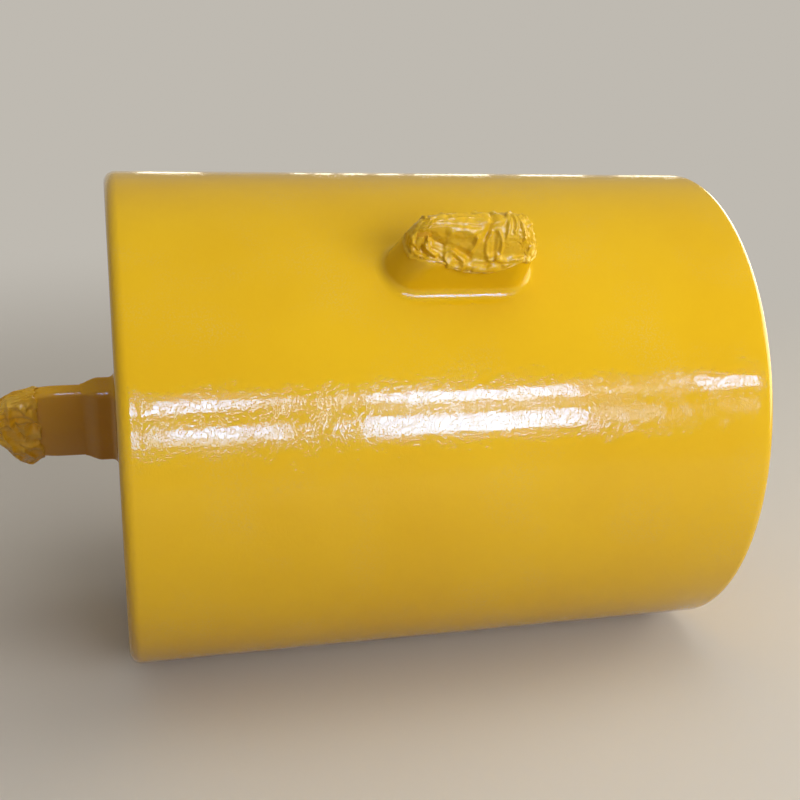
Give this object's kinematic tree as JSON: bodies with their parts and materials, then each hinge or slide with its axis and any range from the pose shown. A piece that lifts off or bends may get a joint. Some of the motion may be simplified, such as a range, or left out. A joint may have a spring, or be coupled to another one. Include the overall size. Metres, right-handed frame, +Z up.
{
  "type": "foam mooring buoy",
  "caption": "Cylindrical foam mooring buoy in a sprayed elastomer skin, with a plate pad eye, a bent bar D eye and a film-wrapped side eye in a collar.",
  "frame": {"origin": "on the floor under the middle of the barrel's length, where the buoy lies on its side", "axes": "+X along the barrel from the pad eye to the D eye, +Z up, +Y to the side away from the side eye"},
  "size_m": [2.0766, 1.1997, 1.2085],
  "materials": {
    "skin": "golden yellow sprayed elastomer, glossy, with a fine orange-peel",
    "foam": "closed-cell foam, matt",
    "core_steel": "primed steel, matt",
    "painted_steel": "golden yellow gloss paint over primed steel",
    "film": "crumpled thin masking film under yellow overspray, semi-gloss"
  },
  "bodies": {
    "root": {"foam_core": "foam", "outer_skin": "skin", "side_collar": "skin", "steel_core": "core_steel", "side_strut": "core_steel", "side_bail": "painted_steel", "pad_eye": "painted_steel", "d_bar": "painted_steel", "d_web": "painted_steel", "nose_film": "film", "bail_film": "film"}
  },
  "joints": []
}
